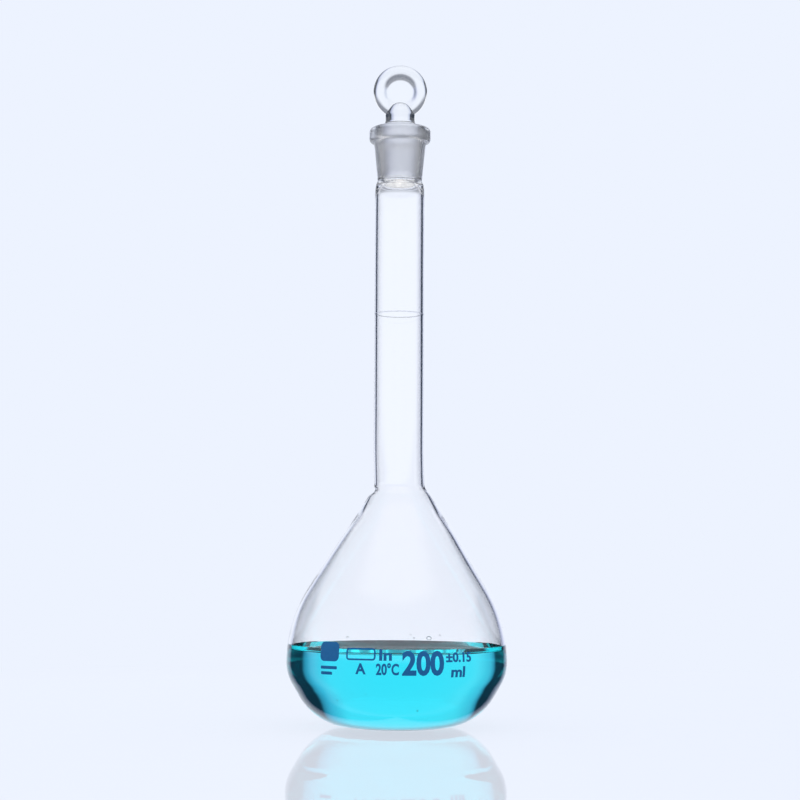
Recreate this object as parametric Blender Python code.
"""A 200 ml volumetric flask with a ground glass stopper, part filled with a blue solution.

The flask stands on z = 0 with its axis on Z. Its wall is one outline turned round that axis: a pear-shaped bulb,
a long plain neck, and a ground socket with a collar at the mouth. The three lengths of glass are parted at the
two flame welds where they were joined. The stopper lifts straight out of the socket.
"""

import math

import bmesh
import bpy

MM = 0.001

# Bulb, outer face: tangent arcs from the foot round the belly to a straight cone.
BELLY_RADIUS = 37.2 * MM
BELLY_HEIGHT = 21.7 * MM
BELLY_ARC_BELOW = 14.4 * MM
BELLY_ARC_ABOVE = 47.0 * MM
LOWER_SIDE_SLOPE = math.radians(30.3)  # lean of the straight stretch between belly and foot
CONE_SLOPE = math.radians(32.2)
FOOT_CORNER_ARC = 20.5 * MM
FOOT_RING_WIDTH = 4.0 * MM  # flat ring the flask stands on
BASE_RISE = 1.1 * MM  # the base is pushed up inside that ring

# Wall and neck.
BULB_WALL = 1.3 * MM
NECK_WALL = 0.9 * MM
NECK_RADIUS = 8.5 * MM
NECK_FILLET = 4.0 * MM  # where the cone turns into the neck
LOWER_WELD = 80.3 * MM
UPPER_WELD = 185.2 * MM
MARK_HEIGHT = 139.9 * MM  # 200 ml line
MARK_WIDTH = 0.5 * MM
MARK_THICKNESS = 0.2 * MM

# The neck closes in at its top, more inside than outside, to the throat under the ground socket.
SHOULDER_START = 181.8 * MM
SHOULDER_HEIGHT = 4.0 * MM
INNER_SHOULDER_START = 180.0 * MM
INNER_SHOULDER_HEIGHT = 4.8 * MM
THROAT_RADIUS = 5.5 * MM

# Ground socket, a 1 in 10 taper, and its collar.
SOCKET_FOOT_RADIUS = 7.6 * MM
SOCKET_TOP_RADIUS = 8.9 * MM
COLLAR_RADIUS = 10.55 * MM
COLLAR_BOTTOM = 199.6 * MM
MOUTH = 204.5 * MM
COLLAR_ROUNDING = 1.2 * MM
GROUND_LENGTH = 17.7 * MM
GROUND_TOP_RADIUS = 7.25 * MM
GROUND_TAPER = 0.05  # radius lost for each unit of depth
MOUTH_CHAMFER = 0.8 * MM

# Stopper: ground plug, stem, and a flat round head with a dished face on both sides.
STOPPER_TOP = 0.9 * MM  # the plug's top stands this far above the mouth
STEM_RADIUS = 5.1 * MM
STEM_FLARE = 1.2 * MM  # the stem's foot spreads this far, and about twice as high
STEM_DOME_CENTRE = 4.9 * MM  # above the mouth
HEAD_CENTRE = 13.0 * MM  # above the mouth
HEAD_RADIUS = 9.25 * MM
HEAD_THICKNESS = 5.4 * MM
HEAD_ROUNDING = 2.2 * MM
DISH_RADIUS = 5.6 * MM
DISH_DEPTH = 1.1 * MM

LIQUID_LEVEL = 25.9 * MM
GAP = 0.3 * MM  # left between pieces that touch
TURNS = 48  # flats round every turned piece
MERGE = 1e-7

COLOURS = {
    "borosilicate_glass": ((0.93, 0.95, 1.0), 0.03),
    "ground_glass": ((0.78, 0.80, 0.86), 0.45),
    "blue_solution": ((0.03, 0.62, 0.95), 0.05),
    "mark_enamel": ((0.55, 0.58, 0.66), 0.4),
}


def arc(centre, radius, start, end, steps, stretch=1.0):
    """Points of an arc in the (radius, height) plane, with angles from the outward direction.

    A stretch other than 1 makes it part of an ellipse, that many times as high as it is wide.
    """
    turns = [start + (end - start) * i / steps for i in range(steps + 1)]
    return [(centre[0] + radius * math.cos(a), centre[1] + stretch * radius * math.sin(a)) for a in turns]


def bulb_outline(inset, corner_steps=5, below_steps=3, above_steps=6):
    """The bulb's outline from the axis to the end of the cone's tangent arc, this far inside the outer face."""
    below = (BELLY_RADIUS - BELLY_ARC_BELOW, BELLY_HEIGHT)
    above = (BELLY_RADIUS - BELLY_ARC_ABOVE, BELLY_HEIGHT)
    side_top = arc(below, BELLY_ARC_BELOW, -LOWER_SIDE_SLOPE, 0, 1)[0]
    corner_top = FOOT_CORNER_ARC * (1 - math.sin(LOWER_SIDE_SLOPE))
    side_run = (side_top[1] - corner_top) * math.tan(LOWER_SIDE_SLOPE)
    foot = side_top[0] - side_run - FOOT_CORNER_ARC * math.cos(LOWER_SIDE_SLOPE)
    corner = (foot, FOOT_CORNER_ARC)
    middle = [(0, BASE_RISE + inset), (0.55 * foot, 0.45 * BASE_RISE + inset), (foot - FOOT_RING_WIDTH, inset)]
    return (
        middle
        + arc(corner, FOOT_CORNER_ARC - inset, -math.pi / 2, -LOWER_SIDE_SLOPE, corner_steps)
        + arc(below, BELLY_ARC_BELOW - inset, -LOWER_SIDE_SLOPE, 0, below_steps)
        + arc(above, BELLY_ARC_ABOVE - inset, 0, CONE_SLOPE, above_steps)[1:]
    )


def neck_outline(inset, shoulder, fillet_steps=4):
    """The fillet between cone and neck, and the neck up to its shoulder."""
    cone_start = arc((BELLY_RADIUS - BELLY_ARC_ABOVE, BELLY_HEIGHT), BELLY_ARC_ABOVE, 0, CONE_SLOPE, 1)[1]
    corner = cone_start[1] + (cone_start[0] - NECK_RADIUS) / math.tan(CONE_SLOPE)
    centre = (NECK_RADIUS + NECK_FILLET, corner + NECK_FILLET * math.tan(CONE_SLOPE / 2))
    fillet = arc(centre, NECK_FILLET + inset, math.pi + CONE_SLOPE, math.pi, fillet_steps)
    return fillet + shoulder


def ground_radius(height):
    """Radius of the socket's ground bore at this height."""
    return GROUND_TOP_RADIUS - GROUND_TAPER * (MOUTH - MOUTH_CHAMFER - height)


def shoulder_outline(foot_radius, neck_radius, start, height):
    """A quarter ellipse that takes the neck's radius in to the socket's."""
    draw_in = neck_radius - foot_radius
    return arc((foot_radius, start), draw_in, 0, math.pi / 2, 4, stretch=height / draw_in)


def socket_outline():
    """The socket's outer face, its collar and the ground bore."""
    corner = math.pi / 2
    low = COLLAR_BOTTOM + COLLAR_ROUNDING
    high = MOUTH - COLLAR_ROUNDING
    edge = COLLAR_RADIUS - COLLAR_ROUNDING
    ground_end = MOUTH - MOUTH_CHAMFER - GROUND_LENGTH
    return (
        [(SOCKET_TOP_RADIUS, COLLAR_BOTTOM)]
        + arc((edge, low), COLLAR_ROUNDING, -corner, 0, 3)
        + arc((edge, high), COLLAR_ROUNDING, 0, corner, 3)
        + [(GROUND_TOP_RADIUS + MOUTH_CHAMFER, MOUTH), (GROUND_TOP_RADIUS, MOUTH - MOUTH_CHAMFER)]
        + [(ground_radius(ground_end), ground_end), (THROAT_RADIUS, UPPER_WELD + GAP)]
    )


def wall_outline():
    """The whole flask's wall: up the outer face from under the base, over the mouth, and back down inside."""
    bore = NECK_RADIUS - NECK_WALL
    outer_shoulder = shoulder_outline(SOCKET_FOOT_RADIUS, NECK_RADIUS, SHOULDER_START, SHOULDER_HEIGHT)
    inner_shoulder = shoulder_outline(THROAT_RADIUS, bore, INNER_SHOULDER_START, INNER_SHOULDER_HEIGHT)
    outer = bulb_outline(0) + neck_outline(0, outer_shoulder)
    inner = bulb_outline(BULB_WALL) + neck_outline(NECK_WALL, inner_shoulder)
    return outer + socket_outline() + inner[::-1]


def turned(outline, axis=(0, 0, 1)):
    """A closed solid made by spinning an outline of (radius, position along the axis) points."""
    mesh = bmesh.new()
    along_y = axis[1] != 0
    points = [(r, h, 0) if along_y else (r, 0, h) for r, h in outline]
    verts = [mesh.verts.new(p) for p in points]
    edges = [mesh.edges.new(pair) for pair in zip(verts, verts[1:])]
    if outline[0][0] > 0:
        edges.append(mesh.edges.new((verts[-1], verts[0])))
    bmesh.ops.spin(mesh, geom=verts + edges, cent=(0, 0, 0), axis=axis, angle=math.tau, steps=TURNS, use_merge=True)
    bmesh.ops.remove_doubles(mesh, verts=mesh.verts[:], dist=MERGE)
    bmesh.ops.recalc_face_normals(mesh, faces=mesh.faces[:])
    return mesh


def cut_flat(mesh, height, keep_above):
    """Saws a turned wall across at this height and closes the cut with a flat ring."""
    geometry = mesh.verts[:] + mesh.edges[:] + mesh.faces[:]
    cut = bmesh.ops.bisect_plane(
        mesh,
        geom=geometry,
        dist=MERGE,
        plane_co=(0, 0, height),
        plane_no=(0, 0, 1),
        clear_inner=keep_above,
        clear_outer=not keep_above,
    )
    rims = [e for e in cut["geom_cut"] if isinstance(e, bmesh.types.BMEdge)]
    bmesh.ops.bridge_loops(mesh, edges=rims)
    bmesh.ops.recalc_face_normals(mesh, faces=mesh.faces[:])


def material(name):
    """A plain Principled material in this piece's colour."""
    found = bpy.data.materials.get(name)
    if found:
        return found
    colour, roughness = COLOURS[name]
    made = bpy.data.materials.new(name)
    made.use_nodes = True
    shader = made.node_tree.nodes["Principled BSDF"]
    shader.inputs["Base Color"].default_value = (*colour, 1)
    shader.inputs["Roughness"].default_value = roughness
    shader.inputs["Metallic"].default_value = 0
    return made


def add(name, mesh, finish, parent=None, height=0.0):
    """Turns a bmesh into a named object with smooth sides and its own material."""
    data = bpy.data.meshes.new(name)
    mesh.to_mesh(data)
    mesh.free()
    data.shade_smooth()
    data.set_sharp_from_angle(angle=math.radians(30))
    data.materials.append(material(finish))
    piece = bpy.data.objects.new(name, data)
    piece.location = (0, 0, height)
    piece.parent = parent
    bpy.context.scene.collection.objects.link(piece)
    return piece


def make_glass(flask):
    """The bulb, the neck and the socket, parted by a narrow gap at each weld."""
    sections = {
        "bulb": (None, LOWER_WELD),
        "neck_tube": (LOWER_WELD, UPPER_WELD),
        "ground_socket": (UPPER_WELD, None),
    }
    for name, (low, high) in sections.items():
        mesh = turned(wall_outline())
        if low:
            cut_flat(mesh, low + GAP / 2, keep_above=True)
        if high:
            cut_flat(mesh, high - GAP / 2, keep_above=False)
        add(name, mesh, "borosilicate_glass", flask)


def make_graduation_ring(flask):
    """The fired ring round the neck that marks 200 ml."""
    inner = NECK_RADIUS + GAP
    outer = inner + MARK_THICKNESS
    low = MARK_HEIGHT - MARK_WIDTH / 2
    high = MARK_HEIGHT + MARK_WIDTH / 2
    ring = turned([(outer, low), (outer, high), (inner, high), (inner, low)])
    add("graduation_ring", ring, "mark_enamel", flask)


def make_solution(flask):
    """The liquid in the bulb, with a flat surface a little above the belly."""
    body = turned(bulb_outline(BULB_WALL + GAP) + [(0, BELLY_HEIGHT + BELLY_ARC_ABOVE)])
    geometry = body.verts[:] + body.edges[:] + body.faces[:]
    cut = bmesh.ops.bisect_plane(
        body, geom=geometry, dist=MERGE, plane_co=(0, 0, LIQUID_LEVEL), plane_no=(0, 0, 1), clear_outer=True
    )
    rim = [e for e in cut["geom_cut"] if isinstance(e, bmesh.types.BMEdge)]
    bmesh.ops.contextual_create(body, geom=rim)
    bmesh.ops.recalc_face_normals(body, faces=body.faces[:])
    add("solution", body, "blue_solution", flask)


def plug_and_stem():
    """The ground plug with its rounded top, and the stem that ends in a dome. Heights are from the mouth."""
    plug_end = -MOUTH_CHAMFER - GROUND_LENGTH + 0.6 * MM
    corner = 0.8 * MM
    top_radius = ground_radius(MOUTH + STOPPER_TOP) - GAP
    end_radius = ground_radius(MOUTH + plug_end) - GAP
    flare_height = 1.8 * STEM_FLARE
    flare_centre = (STEM_RADIUS + STEM_FLARE, STOPPER_TOP + flare_height)
    return (
        [(0, plug_end), (end_radius - corner, plug_end), (end_radius, plug_end + corner)]
        + arc((top_radius - corner, STOPPER_TOP - corner), corner, 0, math.pi / 2, 3)
        + arc(flare_centre, STEM_FLARE, -math.pi / 2, -math.pi, 4, stretch=flare_height / STEM_FLARE)
        + arc((0, STEM_DOME_CENTRE), STEM_RADIUS, 0, math.pi / 2, 7)
    )


def head_outline():
    """Half of the head's section: a thick rounded rim round a thinner dished web."""
    half = HEAD_THICKNESS / 2
    web = half - DISH_DEPTH
    edge = HEAD_RADIUS - HEAD_ROUNDING
    side = half - HEAD_ROUNDING
    dish_wall = DISH_RADIUS + DISH_DEPTH
    front = [(0, -web), (DISH_RADIUS, -web), (dish_wall, -half)]
    round_edge = arc((edge, -side), HEAD_ROUNDING, -math.pi / 2, 0, 4)
    lower_half = front + round_edge
    return lower_half + [(r, -h) for r, h in lower_half[::-1]]


def make_stopper(flask):
    """The stopper: plug and stem joined to the flat head, which faces along Y. Its origin is at the mouth."""
    stopper = add("stopper", turned(plug_and_stem()), "ground_glass", flask, MOUTH)
    head = add("stopper_head_guide", turned(head_outline(), (0, 1, 0)), "ground_glass", flask, MOUTH + HEAD_CENTRE)
    head.hide_render = True
    head.display_type = "WIRE"
    join = stopper.modifiers.new("head", "BOOLEAN")
    join.operation = "UNION"
    join.object = head


def main():
    for old in list(bpy.data.objects):
        bpy.data.objects.remove(old, do_unlink=True)
    flask = bpy.data.objects.new("volumetric_flask", None)
    bpy.context.scene.collection.objects.link(flask)
    make_glass(flask)
    make_graduation_ring(flask)
    make_solution(flask)
    make_stopper(flask)


main()
